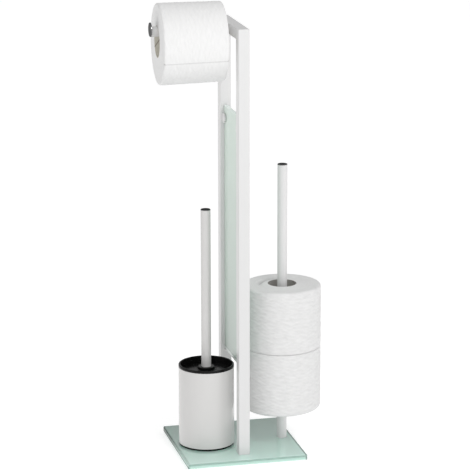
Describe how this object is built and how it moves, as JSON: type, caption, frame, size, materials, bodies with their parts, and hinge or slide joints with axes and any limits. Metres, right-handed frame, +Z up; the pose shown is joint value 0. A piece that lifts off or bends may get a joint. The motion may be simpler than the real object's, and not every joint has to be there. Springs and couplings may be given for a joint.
{
  "type": "toilet roll storage holder",
  "caption": "Free-standing white frame on a glass base: an arm for a toilet roll, a rod for spare rolls, a frosted glass panel and a cup with a long-handled brush.",
  "frame": {"origin": "the point on the floor under the centre of the whole object's box; the glass base's centre is 4.75 mm towards -X of it", "axes": "+Z up; +X from the brush set towards the spare rolls; +Y away from the viewer, along the frame's width"},
  "size_m": [0.2764, 0.196, 0.7343],
  "materials": {
    "base_glass": "satin",
    "panel_glass": "satin",
    "white_coat": "satin",
    "dark_chrome": "polished",
    "steel": "satin",
    "black_plastic": "gloss",
    "bristle": "matte",
    "rubber": "satin",
    "clear_plastic": "gloss",
    "tissue": "matte",
    "core_board": "matte"
  },
  "bodies": {
    "root": {"base_plate": "base_glass", "foot_front_left": "rubber", "foot_front_right": "rubber", "foot_back_left": "rubber", "foot_back_right": "rubber", "front_post": "white_coat", "back_post": "white_coat", "top_bar": "white_coat", "front_foot_plug": "steel", "back_foot_plug": "steel", "front_base_screw": "steel", "back_base_screw": "steel", "front_base_washer": "clear_plastic", "back_base_washer": "clear_plastic", "glass_panel": "panel_glass", "front_panel_lug": "white_coat", "back_panel_lug": "white_coat", "front_panel_disc": "white_coat", "back_panel_disc": "white_coat", "front_disc_gasket": "clear_plastic", "back_disc_gasket": "clear_plastic", "front_lug_gasket": "clear_plastic", "back_lug_gasket": "clear_plastic", "front_panel_shoe": "white_coat", "back_panel_shoe": "white_coat", "front_shoe_pad": "clear_plastic", "back_shoe_pad": "clear_plastic", "roll_arm": "white_coat", "roll_arm_cap": "dark_chrome", "spare_rod": "white_coat", "spare_rod_cap": "dark_chrome", "spare_rod_plug": "steel", "spare_rod_screw": "steel", "spare_rod_washer": "clear_plastic", "roll_rest": "white_coat", "roll_rest_screw": "steel"},
    "cup": {"cup_sleeve": "white_coat", "cup_liner": "black_plastic", "cup_foot": "black_plastic"},
    "brush": {"brush_handle": "white_coat", "brush_handle_cap": "dark_chrome", "brush_lid": "black_plastic", "brush_core": "black_plastic", "brush_bristles": "bristle"},
    "hanging_roll": {"hanging_roll_core": "core_board", "hanging_roll_paper": "tissue"},
    "lower_roll": {"lower_roll_core": "core_board", "lower_roll_paper": "tissue"},
    "upper_roll": {"upper_roll_core": "core_board", "upper_roll_paper": "tissue"}
  },
  "joints": [
    {"name": "roll_turn", "type": "hinge", "parent": "root", "child": "hanging_roll", "pos_m": [-0.07475, 0, 0.67375], "axis": [0.9994, -0.0349, 0], "continuous": true},
    {"name": "lower_roll_lift", "type": "slide", "parent": "root", "child": "lower_roll", "axis": [0, 0, 1], "range_m": [0, 0.41]},
    {"name": "upper_roll_lift", "type": "slide", "parent": "lower_roll", "child": "upper_roll", "axis": [0, 0, 1], "range_m": [0, 0.305]},
    {"name": "cup_lift", "type": "slide", "parent": "root", "child": "cup", "axis": [-0.7071, 0, 0.7071], "range_m": [0, 0.1]},
    {"name": "brush_lift", "type": "slide", "parent": "cup", "child": "brush", "axis": [0, 0, 1], "range_m": [0, 0.13]}
  ]
}
